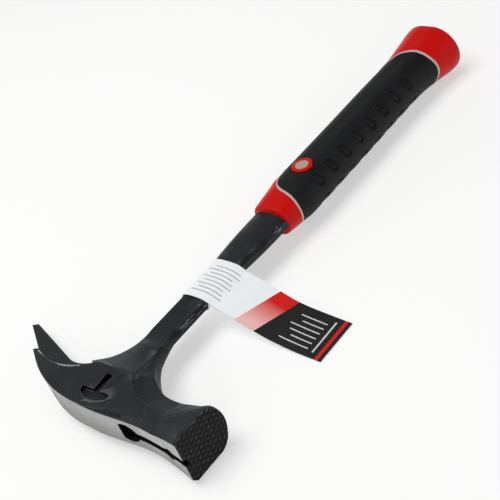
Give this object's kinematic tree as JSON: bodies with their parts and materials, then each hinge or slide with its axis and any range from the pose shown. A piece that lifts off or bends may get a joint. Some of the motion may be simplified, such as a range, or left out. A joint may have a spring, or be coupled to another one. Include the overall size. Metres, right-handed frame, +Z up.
{
  "type": "roofing hammer",
  "caption": "One-piece forged steel roofing hammer with milled face, magnetic nail holder, split spike claw, T slot, cushioned oval grip and a hanging paper label.",
  "frame": {"origin": "the middle of the underside of the whole hammer's bounding box, on the table that it lies on", "axes": "+X runs down the handle to the butt, +Y points to the claw, +Z points up from the table; the hammer lies on its side"},
  "size_m": [0.3178, 0.1712, 0.031],
  "materials": {
    "black_paint": "satin black paint over forged steel, ground bright on the poll",
    "magnet": "dark plated magnet",
    "red_plastic": "satin red moulding",
    "grey_trim": "pale grey moulding",
    "black_rubber": "matt black soft grip",
    "pin_steel": "faced steel pin",
    "label_paper": "coated white paper printed in red and black"
  },
  "bodies": {
    "root": {"forging": "black_paint", "nail_magnet": "magnet", "grip_core": "red_plastic", "front_trim": "grey_trim", "rear_trim": "grey_trim", "grip_sleeve": "black_rubber", "lock_pin": "pin_steel", "bezel_near": "red_plastic", "bezel_far": "red_plastic", "label": "label_paper"}
  },
  "joints": []
}
